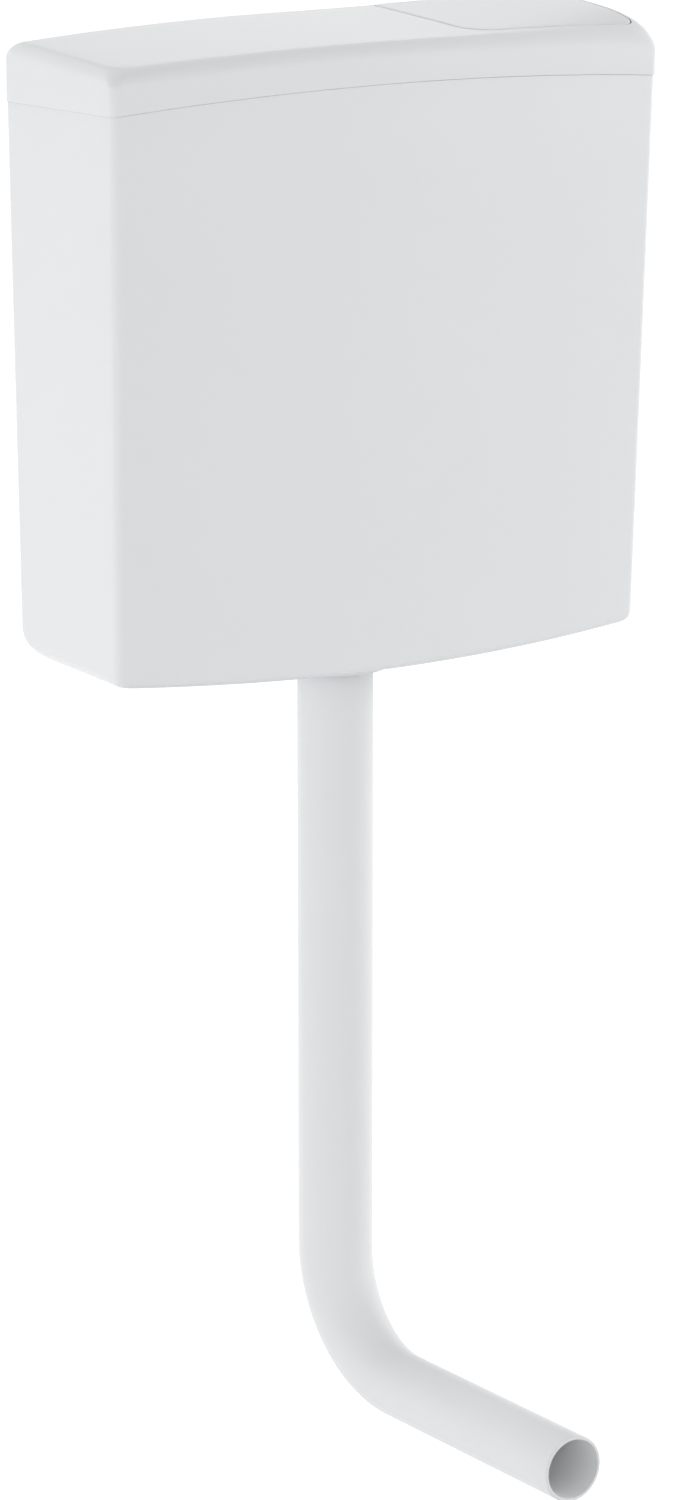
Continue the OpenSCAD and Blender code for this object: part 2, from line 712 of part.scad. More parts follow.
// float arm: hub, bar and the fork around the float rod
module float_arm() at_fill() color(blue) translate([0, 0, arm_z]) rotate([arm_rest, 0, 0]) difference() {
    slot = rod_r + lip_gap;
    union() {
        along_x() rod(arm_eye_r, -arm_w/2, arm_w/2);
        block([-4, -arm_len + 6, -3], [4, 0, 3]);
        block([-7, -arm_len - 8, -2], [7, -arm_len + 8, 2]);
        block([-3, 0, -2], [3, 10, 3]);
    }
    block([-slot, -arm_len - 9, -5], [slot, -arm_len + rod_r + 1, 5]);
    along_x() rod(arm_pin_r + run, -arm_w, arm_w);
}

// float around the guide column, open below, with a boss for its rod
module at_rod() translate([0, -arm_len, 0]) children();
module float_cup() at_fill() color(foam) difference() {
    in = column_r + lip_gap;
    top = float_hi - float_top_t;
    union() {
        rotate_extrude() polygon([
            [in, float_lo], [in + float_t, float_lo], [in + float_t, top], [float_r - float_t, top],
            [float_r - float_t, float_lo], [float_r, float_lo], [float_r, top],
            [float_r - float_top_t, float_hi], [in, float_hi]
        ]);
        at_rod() rod(rod_boss_r, float_hi + 4 - rod_boss_h, float_hi + 4);
    }
    at_rod() rod(rod_r + nest, float_hi - rod_in, float_hi + 4 + over);
}
module float_rod() at_fill() color(steel) at_rod() {
    rod(rod_r, float_hi - rod_in, fork_z + 10);
    rod(rod_r + rod_collar, fork_z - fork_gap - rod_collar, fork_z - fork_gap);
    rod(rod_r + rod_collar, fork_z + fork_gap, fork_z + fork_gap + rod_collar);
}

// flush pipe: straight drop, tapered bend and leg to the pan
function bend_ring(t, out, inset) =
    let (
        r = pipe_r + (leg_r - pipe_r)*t/90 - inset,
        y = -bend_r + bend_r*cos(t) - (t == 90 ? out : 0),
        z = -pipe_drop - bend_r*sin(t) + (t == 0 ? out : 0)
    )
    [for (j = [0:bend_fn - 1])
        let (a = 360*j/bend_fn)
        [r*cos(a), y + r*sin(a)*cos(t), z - r*sin(a)*sin(t)]];
function bend_skin(inset) = concat(
    [bend_ring(0, 2, inset)],
    [for (i = [0:bend_n]) bend_ring(90*i/bend_n, 0, inset)],
    [bend_ring(90, 2, inset)]
);
function flipped(v) = [for (i = [len(v) - 1:-1:0]) v[i]];
module flush_pipe() at_outlet() color(white) rotate(leg_turn) {
    pipe(pipe_r, pipe_r - pipe_wall, -pipe_drop, pipe_top);
    ring_loft(concat(bend_skin(0.03), flipped(bend_skin(pipe_wall - 0.1))));
    translate([0, -bend_r, -pipe_drop - bend_r]) along_y() pipe(leg_r, leg_r - pipe_wall, 0, leg_len);
}

tank();
tank_liner();
lid();
flush_key();
key_axle();
key_plunger();
lever_bracket();
lever_pin();
lift_lever();
valve_seat();
outlet_gasket();
outlet_nut();
pipe_seal();
valve_basket();
overflow_tube();
flush_seal();
seal_retainer();
valve_float();
lift_yoke();
fill_valve_body();
inlet_washer();
inlet_nut();
diaphragm();
fill_valve_cap();
arm_pin();
float_arm();
float_cup();
float_rod();
flush_pipe();
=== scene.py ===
"""Looks of the wall-hung cistern: mouldings over the CAD frame, materials, light and camera."""

import json
import math

import bmesh
import bpy
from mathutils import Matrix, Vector


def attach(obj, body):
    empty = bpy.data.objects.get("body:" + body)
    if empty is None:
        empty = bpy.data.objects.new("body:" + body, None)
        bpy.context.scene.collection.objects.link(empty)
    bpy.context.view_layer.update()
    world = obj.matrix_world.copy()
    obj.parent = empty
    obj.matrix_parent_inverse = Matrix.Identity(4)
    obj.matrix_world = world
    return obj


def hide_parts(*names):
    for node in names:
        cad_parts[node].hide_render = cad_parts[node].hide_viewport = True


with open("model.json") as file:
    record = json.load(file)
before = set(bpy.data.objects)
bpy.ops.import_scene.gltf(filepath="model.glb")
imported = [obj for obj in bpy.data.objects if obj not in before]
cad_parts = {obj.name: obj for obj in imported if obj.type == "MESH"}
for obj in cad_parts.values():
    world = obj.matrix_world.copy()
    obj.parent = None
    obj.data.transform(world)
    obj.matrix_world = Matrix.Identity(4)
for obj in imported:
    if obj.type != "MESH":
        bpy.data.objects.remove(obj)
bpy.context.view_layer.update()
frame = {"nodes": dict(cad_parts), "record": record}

# Driving sizes of the part in millimetres; heights are counted from the tank's bottom corners.
MM = 0.001
FIX_H = 325.0
TANK_W = 400.0
TANK_D = 140.0
FRONT_BOW = 12.0
WALL = 4.2
SIDE_DRAFT = math.radians(0.85)
FRONT_DRAFT = math.radians(1.75)
CORNER_R = 5.0
CORNER_MIN = 1.5
REAR_R = 3.0
BOTTOM_ARCH = 8.0
BOTTOM_R = 4.0
BOTTOM_SIDE_R = 7.0
HEEL_H = 16.0
HEEL_D = 40.0
SEAM_H = 362.0
SEAM_ARCH = 9.0
SEAM_DROP = 5.6
SEAM_GAP = 0.2
SEAM_ROUND = 0.25
LIP_H = 10.0
LID_OVER = 0.7
LID_WALL = 2.8
LID_BACK_H = 38.0
LID_FRONT_H = 27.5
LID_ARCH = 8.0
LID_RISE = 12.0
LID_EDGE_R = 10.0
LID_CORNER_R = 14.0
LIP_CLEAR = 0.4
LIP_INSET = LID_WALL - LID_OVER + LIP_CLEAR
LIP_BACK = LID_WALL + LIP_CLEAR
BOSS_UP = 0.8
RIM_IN = WALL + BOSS_UP
RIM_LOW = 12.0
KEY_L = 65.5
KEY_R = 190.0
KEY_FRONT = 131.0
KEY_BACK = 8.0
KEY_FLUSH = 0.3
KEY_WALL = 2.5
KEY_GAP = 1.0
KEY_SKIRT = 6.0
KEY_EDGE = 1.2
KEY_RADII = (20.0, 10.0, 6.0, 6.0)
KEY_MIN_R = 0.5
OUTLET_Y = 70.0
PIPE_R = 25.0
LEG_R = 22.0
PIPE_WALL = 2.5
PIPE_DROP = 416.0
BEND_R = 79.0
LEG_LEN = 186.0
LEG_TURN = math.radians(4.0)

# Fineness of the meshes, and the angle in degrees from which an edge is drawn sharp.
CORNER_N = 10
FRONT_N = 72
SIDE_N = 24
PIPE_N = 96
BIG_N = 96
ROUND_N = 64
BORE_N = 48
PIN_N = 32
SHARP = 40
BOTTOM_STEPS = (
    0, 0.04, 0.15, 0.35, 0.6, 1.0, 1.5, 2.2, 3.0, BOTTOM_R, 5, 6.5, 8, 10, 12, 14, HEEL_H
)
WALL_STEPS = 6
FLOOR_FILLS = (0.12, 0.3, 0.5, 0.7, 0.85, 0.95)
LID_FILLS = (0.1, 0.25, 0.4, 0.55, 0.7, 0.82, 0.92)
KEY_FILLS = (0.12, 0.35, 0.6, 0.8, 0.93)
SEAM_TURN = [math.radians(30 * k) for k in range(4)]
LID_TURN = [math.radians(90 * k / 10) for k in range(11)]
KEY_TURN = [math.radians(90 * k / 8) for k in range(9)]
MOUTH_TURN = [math.radians(15 * k) for k in range(7)]

HALF_0 = TANK_W / 2 - SEAM_H * math.tan(SIDE_DRAFT)
DEPTH_0 = TANK_D - SEAM_H * math.tan(FRONT_DRAFT)


def half_w(h):
    """Half the tank's width at height h."""
    return TANK_W / 2 - (SEAM_H - h) * math.tan(SIDE_DRAFT)


def side_d(h):
    """Depth of the tank's sides at height h."""
    return TANK_D - (SEAM_H - h) * math.tan(FRONT_DRAFT)


def arch(x):
    """Share of an arch's height at x: 1 in the middle, 0 at the sides."""
    return 1 - (2 * x / TANK_W) ** 2


def floor_z(x):
    return -BOTTOM_ARCH * (1 - (x / HALF_0) ** 2)


def seam_z(x, y):
    """Height of the seam between tank and lid."""
    return SEAM_H - SEAM_DROP * (1 + y / TANK_D) + SEAM_ARCH * arch(x)


def lid_more(x, y):
    """Rise of the lid's right part, which falls to nothing at the front edge."""
    front = TANK_D + LID_OVER + FRONT_BOW * arch(x)
    return LID_RISE * (1 - arch(x)) * (1 - (-y / front) ** 6) if x > 0 else 0.0


def lid_z(x, y):
    fall = LID_BACK_H - SEAM_DROP - LID_FRONT_H
    level = SEAM_H - SEAM_DROP + LID_BACK_H + fall * y / TANK_D
    return level + LID_ARCH * arch(x) + lid_more(x, y)


def key_z(x, y):
    return lid_z(x, y) + KEY_FLUSH


def edge_in(r, h):
    """Set-in of a bottom edge of radius r at height h."""
    return r - math.sqrt(r**2 - (r - h) ** 2) if h < r else 0.0


def heel_in(h):
    """Set-in of the rear bottom edge at height h."""
    return HEEL_D * (1 - math.sqrt(1 - (1 - h / HEEL_H) ** 2)) if h < HEEL_H else 0.0


def arc(cx, cy, r, start):
    turn = [math.radians(start + 90 * i / CORNER_N) for i in range(CORNER_N + 1)]
    return [(cx + r * math.cos(a), cy + r * math.sin(a)) for a in turn]


def between(p, q, n):
    return [(p[0] + (q[0] - p[0]) * i / n, p[1] + (q[1] - p[1]) * i / n) for i in range(1, n)]


def plan(w, front, back, r, bow):
    """Rounded rectangle whose front bows out, counter-clockwise from the front left corner."""
    d = front - back
    points = (
        arc(-w + r[0], -d + r[0], r[0], 180)
        + between((-w + r[0], -d), (w - r[1], -d), FRONT_N)
        + arc(w - r[1], -d + r[1], r[1], 270)
        + between((w, -d + r[1]), (w, -r[2]), SIDE_N)
        + arc(w - r[2], -r[2], r[2], 0)
        + between((w - r[2], 0), (-w + r[3], 0), FRONT_N)
        + arc(-w + r[3], -r[3], r[3], 90)
        + between((-w, -r[3]), (-w, -d + r[0]), SIDE_N)
    )
    return [(x, -back + y * (1 + bow / d * (1 - (x / w) ** 2))) for x, y in points]


def body_plan(h, inset, back, r, tuck=0.0):
    radii = (r, r, REAR_R, REAR_R)
    return plan(half_w(h) - inset - tuck, side_d(h) - inset, back, radii, FRONT_BOW)


def key_plan(grow):
    radii = [max(r + grow, KEY_MIN_R) for r in KEY_RADII]
    middle = (KEY_L + KEY_R) / 2
    half = (KEY_R - KEY_L) / 2 + grow
    return [(x + middle, y) for x, y in plan(half, KEY_FRONT + grow, KEY_BACK - grow, radii, 0)]


def shrunk(points, centre, s):
    return [(centre[0] + s * (x - centre[0]), centre[1] + s * (y - centre[1])) for x, y in points]


def laid(points, surface, up=0.0):
    """Outline laid on a height surface, raised by up."""
    return [(x, y, surface(x, y) + up) for x, y in points]


def on_floor(points, up):
    return laid(points, lambda x, y: floor_z(x), up)


def base_plan(h, t):
    """Outline of the tank's lower part at height h above the bottom, t inside the outer skin."""
    inset = edge_in(BOTTOM_R, h)
    tuck = edge_in(BOTTOM_SIDE_R, h) - inset
    back = t + max(heel_in(h), inset)
    return body_plan(h + t, t + inset, back, max(CORNER_R - t, CORNER_MIN), tuck)


def base_ring(h, t):
    return on_floor(base_plan(h, t), h + t)


def place(p):
    """Millimetres from the tank's bottom corners to metres in the row frame."""
    return (p[0] * MM, p[1] * MM, (p[2] - FIX_H) * MM)


def mesh_object(name, points, faces, sharp=SHARP):
    mesh = bpy.data.meshes.new(name)
    mesh.from_pydata([place(p) for p in points], [], faces)
    mesh.validate()
    mesh.shade_smooth()
    mesh.set_sharp_from_angle(angle=math.radians(sharp))
    obj = bpy.data.objects.new(name, mesh)
    bpy.context.scene.collection.objects.link(obj)
    return obj


def bands(rows, n, closed):
    """Quads between successive rings of n points."""
    faces = []
    for i in range(rows if closed else rows - 1):
        a, b = i * n, ((i + 1) % rows) * n
        faces += [(a + j, a + (j + 1) % n, b + (j + 1) % n, b + j) for j in range(n)]
    return faces


def skin(name, rings, start, end, sharp=SHARP):
    """Closed skin over rings, with a fan to a point at both ends."""
    n, m = len(rings[0]), len(rings)
    points = [p for ring in rings for p in ring] + [start, end]
    faces = bands(m, n, False)
    faces += [(m * n, (j + 1) % n, j) for j in range(n)]
    faces += [(m * n + 1, (m - 1) * n + j, (m - 1) * n + (j + 1) % n) for j in range(n)]
    return mesh_object(name, points, faces, sharp)


def cylinder(name, r, start, end, sides=ROUND_N):
    """Round bar between two points in millimetres."""
    a, b = Vector(start), Vector(end)
    axis = (b - a).normalized()
    u = axis.orthogonal().normalized()
    v = axis.cross(u)
    turn = [2 * math.pi * j / sides for j in range(sides)]
    spokes = [u * math.cos(t) * r + v * math.sin(t) * r for t in turn]
    return skin(name, [[tuple(e + s) for s in spokes] for e in (a, b)], tuple(a), tuple(b))


def box_object(name, lo, hi):
    xs, ys, zs = zip(lo, hi)
    corners = [(x, y, z) for z in zs for y in ys for x in xs]
    faces = [(0, 2, 3, 1), (4, 5, 7, 6), (0, 1, 5, 4), (2, 6, 7, 3), (0, 4, 6, 2), (1, 3, 7, 5)]
    return mesh_object(name, corners, faces)


def combine(obj, tools, operation):
    """Applies one boolean after another to obj and drops the tools."""
    for tool in tools:
        step = obj.modifiers.new("step", "BOOLEAN")
        step.object = tool
        step.operation = operation
        step.solver = "EXACT"
        bpy.context.view_layer.update()
        evaluated = obj.evaluated_get(bpy.context.evaluated_depsgraph_get())
        mesh = bpy.data.meshes.new_from_object(evaluated)
        obj.modifiers.clear()
        old = obj.data
        obj.data = mesh
        bpy.data.meshes.remove(old)
        bpy.data.objects.remove(tool)
    obj.data.shade_smooth()
    obj.data.set_sharp_from_angle(angle=math.radians(SHARP))


# Node materials; depths are in metres
CLOUD_SCALE, CLOUD_DETAIL = 9.0, 4.0
GRAIN_SCALE, GRAIN_DETAIL, GRAIN_DEPTH = 420.0, 2.0, 0.0002
GLOSS_SPREAD = 0.01
PLASTIC_IOR = 1.49
BEAD_SCALE, BEAD_BUMP, BEAD_DEPTH = 260.0, 0.5, -0.001
BEAD_COLOUR, BEAD_JOINT = (0.86, 0.87, 0.88), (0.72, 0.74, 0.76)
DUST_SCALE, DUST_DETAIL, DUST_BUMP, DUST_DEPTH = 60.0, 5.0, 0.15, 0.0005
RUBBER_DARK, RUBBER_LIGHT = (0.010, 0.010, 0.011), (0.030, 0.030, 0.032)
WIRE_SCALE, WIRE_DETAIL, WIRE_STRETCH = 90.0, 3.0, (12, 0.4, 12)
STEEL_DARK, STEEL_LIGHT = (0.46, 0.47, 0.48), (0.66, 0.67, 0.68)


def node_material(name):
    mat = bpy.data.materials.new(name)
    mat.use_nodes = True
    nodes, links = mat.node_tree.nodes, mat.node_tree.links
    return mat, nodes, links, nodes["Principled BSDF"]


def noise(nodes, links, scale, detail, stretch=(1, 1, 1)):
    coords = nodes.new("ShaderNodeTexCoord")
    mapping = nodes.new("ShaderNodeMapping")
    mapping.inputs["Scale"].default_value = stretch
    tex = nodes.new("ShaderNodeTexNoise")
    tex.inputs["Scale"].default_value = scale
    tex.inputs["Detail"].default_value = detail
    links.new(coords.outputs["Object"], mapping.inputs["Vector"])
    links.new(mapping.outputs["Vector"], tex.inputs["Vector"])
    return tex


def ramp(nodes, links, source, low, high, start=0.3, stop=0.7):
    r = nodes.new("ShaderNodeValToRGB")
    r.color_ramp.elements[0].position = start
    r.color_ramp.elements[0].color = (*low, 1)
    r.color_ramp.elements[1].position = stop
    r.color_ramp.elements[1].color = (*high, 1)
    links.new(source, r.inputs["Fac"])
    return r.outputs["Color"]


def rough_range(nodes, links, source, low, high):
    m = nodes.new("ShaderNodeMapRange")
    m.inputs["To Min"].default_value = low
    m.inputs["To Max"].default_value = high
    links.new(source, m.inputs["Value"])
    return m.outputs["Result"]


def bump(nodes, links, source, strength, distance):
    b = nodes.new("ShaderNodeBump")
    b.inputs["Strength"].default_value = strength
    b.inputs["Distance"].default_value = distance
    links.new(source, b.inputs["Height"])
    return b.outputs["Normal"]


def plastic(name, low, high, rough, grain=0.06):
    """Moulded plastic: faint clouds in the colour, uneven gloss and a very fine surface grain."""
    mat, nodes, links, shader = node_material(name)
    clouds = noise(nodes, links, CLOUD_SCALE, CLOUD_DETAIL)
    fine = noise(nodes, links, GRAIN_SCALE, GRAIN_DETAIL)
    colour = ramp(nodes, links, clouds.outputs["Fac"], low, high)
    links.new(colour, shader.inputs["Base Color"])
    least, most = rough - GLOSS_SPREAD, rough + GLOSS_SPREAD
    gloss = rough_range(nodes, links, clouds.outputs["Fac"], least, most)
    links.new(gloss, shader.inputs["Roughness"])
    relief = bump(nodes, links, fine.outputs["Fac"], grain, GRAIN_DEPTH)
    links.new(relief, shader.inputs["Normal"])
    shader.inputs["IOR"].default_value = PLASTIC_IOR
    return mat


def foam(name):
    """Foamed polystyrene: rounded beads with darker joints."""
    mat, nodes, links, shader = node_material(name)
    coords = nodes.new("ShaderNodeTexCoord")
    beads = nodes.new("ShaderNodeTexVoronoi")
    beads.inputs["Scale"].default_value = BEAD_SCALE
    links.new(coords.outputs["Object"], beads.inputs["Vector"])
    colour = ramp(nodes, links, beads.outputs["Distance"], BEAD_COLOUR, BEAD_JOINT, 0.2, 0.8)
    links.new(colour, shader.inputs["Base Color"])
    relief = bump(nodes, links, beads.outputs["Distance"], BEAD_BUMP, BEAD_DEPTH)
    links.new(relief, shader.inputs["Normal"])
    shader.inputs["Roughness"].default_value = 0.75
    return mat


def rubber(name):
    mat, nodes, links, shader = node_material(name)
    dust = noise(nodes, links, DUST_SCALE, DUST_DETAIL)
    colour = ramp(nodes, links, dust.outputs["Fac"], RUBBER_DARK, RUBBER_LIGHT)
    links.new(colour, shader.inputs["Base Color"])
    relief = bump(nodes, links, dust.outputs["Fac"], DUST_BUMP, DUST_DEPTH)
    links.new(relief, shader.inputs["Normal"])
    shader.inputs["Roughness"].default_value = 0.62
    return mat


def steel(name):
    """Drawn wire: fine lines along the bar."""
    mat, nodes, links, shader = node_material(name)
    lines = noise(nodes, links, WIRE_SCALE, WIRE_DETAIL, WIRE_STRETCH)
    colour = ramp(nodes, links, lines.outputs["Fac"], STEEL_DARK, STEEL_LIGHT)
    links.new(colour, shader.inputs["Base Color"])
    gloss = rough_range(nodes, links, lines.outputs["Fac"], 0.22, 0.38)
    links.new(gloss, shader.inputs["Roughness"])
    shader.inputs["Metallic"].default_value = 1.0
    return mat


WHITE = plastic("white_plastic", (0.820, 0.836, 0.850), (0.828, 0.844, 0.858), 0.26)
PIPE_WHITE = plastic("pipe_plastic", (0.790, 0.804, 0.816), (0.800, 0.814, 0.826), 0.36)
# Lighter copy of the pipe plastic for the inside faces: painted light that brightens the shaded
# bore of the pipe.
PIPE_BORE_PAINTED_LIGHT = plastic("pipe_bore_painted_light", (0.930, 0.940, 0.950), (0.940, 0.950, 0.960), 0.40)
KEY_WHITE = plastic("key_plastic", (0.785, 0.801, 0.815), (0.793, 0.809, 0.823), 0.26)
VALVE = plastic("valve_plastic", (0.58, 0.61, 0.62), (0.66, 0.69, 0.70), 0.42, 0.12)
GREY = plastic("grey_plastic", (0.24, 0.26, 0.28), (0.31, 0.33, 0.35), 0.45, 0.12)
BLUE = plastic("blue_plastic", (0.10, 0.20, 0.34), (0.14, 0.25, 0.40), 0.42, 0.12)
FOAM = foam("bead_foam")
RUBBER = rubber("black_rubber")
STEEL = steel("drawn_steel")
SLOT_MATERIALS = {
    "white_plastic": WHITE,
    "foam": FOAM,
    "valve_plastic": VALVE,
    "grey_plastic": GREY,
    "blue_plastic": BLUE,
    "rubber": RUBBER,
    "steel": STEEL,
}


def dress(obj, material):
    obj.data.materials.clear()
    obj.data.materials.append(material)


def dress_cad_nodes():
    """The CAD pieces keep their shape and take the material of their slot."""
    for part in frame["record"]["subparts"]:
        dress(frame["nodes"][part["node"]], SLOT_MATERIALS[part["material_slot"]])


def finish_piece(obj, material, body, node):
    """Dresses a piece, puts it in place of its CAD node and lets it ride with its body."""
    dress(obj, material)
    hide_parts(node)
    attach(obj, body)


# Tank: moulding with rim and lip, then the outlet pad, the bosses, the bracket rails and the holes
PAD_LO = -BOTTOM_ARCH - 0.4
PAD_HI = -BOTTOM_ARCH + WALL + BOSS_UP
FLANGE_R = 42.0
PAD_R = FLANGE_R + 4
SPOT_FACE_R = FLANGE_R + 1
SPOT_FACE_H = 30
SPIGOT_R = PIPE_R + 4.0
OUTLET_R = SPIGOT_R + 0.6
INLET_H = 300.0
INLET_R = 10.48
INLET_BOSS_R = INLET_R + 7.5
INLET_HOLE_R = INLET_R + 0.32
BOSS_IN = half_w(INLET_H) - WALL - BOSS_UP
BOSS_OUT = half_w(INLET_H) + BOSS_UP
FIX_X = 140.0
FIX_R = 4.5
FIX_BOSS_R = FIX_R + 6
FIX_BOSS_UP = 2
LEVER_X = 104.0
SHELF_Z = SEAM_H - 24.0
RAIL_T = 3
RAIL_LIP = 4
RAIL_DOWN = 12.0
STOP_H = 4
PLATE_H = 46.0
PLATE_HW = 12.0
PLATE_T = 4.0
SLACK = 0.3


def wall_ring(h):
    """Ring part-way up the wall, blended between the floor's arch and the seam."""
    t = (h - HEEL_H) / (SEAM_H - HEEL_H)
    low = base_ring(HEEL_H, 0)
    high = laid(body_plan(SEAM_H, 0, 0, CORNER_R), seam_z)
    return [tuple(a + (b - a) * t for a, b in zip(p, q)) for p, q in zip(low, high)]


def tank_rings():
    """Rings from the middle of the floor up the outside, over the lip and down the inside."""
    centre = (0.0, -(DEPTH_0 + HEEL_D) / 2)
    outer_floor, inner_floor = base_plan(0, 0), base_plan(0, WALL)
    lip = body_plan(SEAM_H, LIP_INSET, LIP_BACK, max(CORNER_R - LIP_INSET, CORNER_MIN))
    mouth = body_plan(SEAM_H, RIM_IN, RIM_IN, CORNER_MIN)
    throat = body_plan(SEAM_H - 2 * RIM_LOW, WALL, WALL, CORNER_MIN)
    rings = [on_floor(shrunk(outer_floor, centre, s), 0) for s in FLOOR_FILLS]
    rings += [base_ring(h, 0) for h in BOTTOM_STEPS]
    for k in range(1, WALL_STEPS):
        rings.append(wall_ring(HEEL_H + (SEAM_H - HEEL_H) * k / WALL_STEPS))
    for a in SEAM_TURN:
        inset, up = SEAM_ROUND * (1 - math.cos(a)), -SEAM_ROUND * (1 - math.sin(a))
        rings.append(laid(body_plan(SEAM_H, inset, inset, CORNER_R), seam_z, up))
    rings += [laid(lip, seam_z), laid(lip, seam_z, LIP_H), laid(mouth, seam_z, LIP_H)]
    rings += [laid(mouth, seam_z, -RIM_LOW), laid(throat, seam_z, -2 * RIM_LOW)]
    rings += [base_ring(h, WALL) for h in reversed(BOTTOM_STEPS)]
    rings += [on_floor(shrunk(inner_floor, centre, s), WALL) for s in reversed(FLOOR_FILLS)]
    ends = [(*centre, floor_z(0) + t) for t in (0, WALL)]
    return rings, ends


def rail_tools():
    """The two rails that hold the bracket, and the stop under it."""
    side = PLATE_HW + SLACK
    face = WALL + SLACK + PLATE_T + SLACK
    low, high = SHELF_Z - PLATE_H, SHELF_Z - RAIL_DOWN
    front, root = -face - RAIL_T, 1 - WALL
    tools = []
    for s in (-1, 1):
        xs = sorted((LEVER_X + s * side, LEVER_X + s * (side + RAIL_T)))
        tools.append(box_object("rail", (xs[0], front, low), (xs[1], root, high)))
        xs = sorted((LEVER_X + s * (side - RAIL_LIP), LEVER_X + s * (side + RAIL_T)))
        tools.append(box_object("rail_lip", (xs[0], front, low), (xs[1], -face, high)))
    stop_lo = (LEVER_X - PLATE_HW - RAIL_T, -WALL - SLACK - PLATE_T, low - STOP_H)
    stop_hi = (LEVER_X + PLATE_HW + RAIL_T, root, low - SLACK)
    tools.append(box_object("stop", stop_lo, stop_hi))
    return tools


def make_tank():
    rings, ends = tank_rings()
    tank = skin("tank_moulding", rings, *ends)
    at = (0, -OUTLET_Y)
    inlet = (-OUTLET_Y, INLET_H)
    face = -WALL - FIX_BOSS_UP
    adds = [cylinder("pad", PAD_R, (*at, PAD_LO), (*at, PAD_HI), BIG_N)]
    adds.append(cylinder("boss", INLET_BOSS_R, (BOSS_IN, *inlet), (BOSS_OUT, *inlet)))
    for x in (-FIX_X, FIX_X):
        adds.append(cylinder("fix_boss", FIX_BOSS_R, (x, -1, FIX_H), (x, face, FIX_H)))
    combine(tank, adds + rail_tools(), "UNION")
    spot_top = PAD_HI + SPOT_FACE_H
    cuts = [cylinder("outlet", OUTLET_R, (*at, PAD_LO - 1), (*at, PAD_HI + 1), BIG_N)]
    cuts.append(cylinder("spot_face", SPOT_FACE_R, (*at, PAD_HI), (*at, spot_top), BIG_N))
    cuts.append(cylinder("inlet", INLET_HOLE_R, (BOSS_IN - 1, *inlet), (BOSS_OUT + 1, *inlet)))
    for x in (-FIX_X, FIX_X):
        cuts.append(cylinder("fix_hole", FIX_R, (x, 1, FIX_H), (x, face - 1, FIX_H)))
    combine(tank, cuts, "DIFFERENCE")
    finish_piece(tank, WHITE, "tank", "tank")


# Lid: shell with rounded edge, opening for the key and lugs for its axle
LID_LEAN = 0.3
AXLE_X = KEY_L + 8.0
AXLE_Z = lid_z(AXLE_X, -KEY_FRONT) - 11.4
AXLE_R = 2.0
BORE_R = AXLE_R + 0.05
LUG_HW = 4
LUG_HT = 2
LUG_BACK = KEY_BACK - KEY_GAP - 2.2
LUG_FRONT = KEY_FRONT + KEY_GAP + 2.2
OPENING_H = 60
KEY_MIDDLE = ((KEY_L + KEY_R) / 2, -(KEY_FRONT + KEY_BACK) / 2)


def lid_ring(a, t):
    """Ring at angle a of the rounded edge, t inside the outer skin."""
    r = LID_EDGE_R - t
    inset = r * (1 - math.cos(a)) - LID_OVER + LID_LEAN * math.sin(a) + t
    round_r = CORNER_R + (LID_CORNER_R - CORNER_R) * math.sin(a)
    points = body_plan(SEAM_H, inset, inset + LID_OVER, max(round_r - t, CORNER_MIN))
    return laid(points, lid_z, -t - r * (1 - math.sin(a)))


def lid_foot(t, up=0.0):
    points = body_plan(SEAM_H, t - LID_OVER, t, max(CORNER_R - t, CORNER_MIN))
    return laid(points, seam_z, SEAM_GAP + up)


def lid_cap(s, t):
    points = body_plan(SEAM_H, LID_EDGE_R, LID_EDGE_R, LID_CORNER_R)
    return laid(shrunk(points, (0.0, -TANK_D / 2), s), lid_z, -t)


def lug_tool(y):
    top = lid_z(AXLE_X, y) - LID_WALL / 2
    lo = (AXLE_X - LUG_HW, y - LUG_HT, AXLE_Z - LUG_HW)
    return box_object("lug", lo, (AXLE_X + LUG_HW, y + LUG_HT, top))


def make_lid():
    rings = [lid_cap(s, LID_WALL) for s in LID_FILLS]
    rings += [lid_ring(a, LID_WALL) for a in reversed(LID_TURN)]
    rings += [lid_foot(LID_WALL, SEAM_ROUND), lid_foot(LID_WALL - SEAM_ROUND)]
    for a in SEAM_TURN:
        rings.append(lid_foot(SEAM_ROUND * (1 - math.sin(a)), SEAM_ROUND * (1 - math.cos(a))))
    rings += [lid_ring(a, 0) for a in LID_TURN]
    rings += [lid_cap(s, 0) for s in reversed(LID_FILLS)]
    middle = (0, -TANK_D / 2)
    ends = [(*middle, lid_z(*middle) - t) for t in (LID_WALL, 0)]
    lid = skin("lid_moulding", rings, *ends)
    combine(lid, [lug_tool(-LUG_BACK), lug_tool(-LUG_FRONT)], "UNION")
    opening = key_plan(KEY_GAP)
    heights = (SEAM_H, SEAM_H + OPENING_H)
    tall = [[(x, y, z) for x, y in opening] for z in heights]
    cut = skin("opening", tall, *[(*KEY_MIDDLE, z) for z in heights])
    bore_ends = [(AXLE_X, -LUG_BACK + 3, AXLE_Z), (AXLE_X, -LUG_FRONT - 3, AXLE_Z)]
    combine(lid, [cut, cylinder("bore", BORE_R, *bore_ends, PIN_N)], "DIFFERENCE")
    finish_piece(lid, WHITE, "lid", "lid")


# Flush key: cap with ears for the axle and a boss for the plunger
PLUNGER_X = 128.0
KEY_BOSS_R = 7
EAR_IN = 24
EAR_R = 3.5
EAR_HT = 3
EAR_BORE_IN = 12
STUD_HOLE_R = 3.05
STUD_HOLE_H = 8


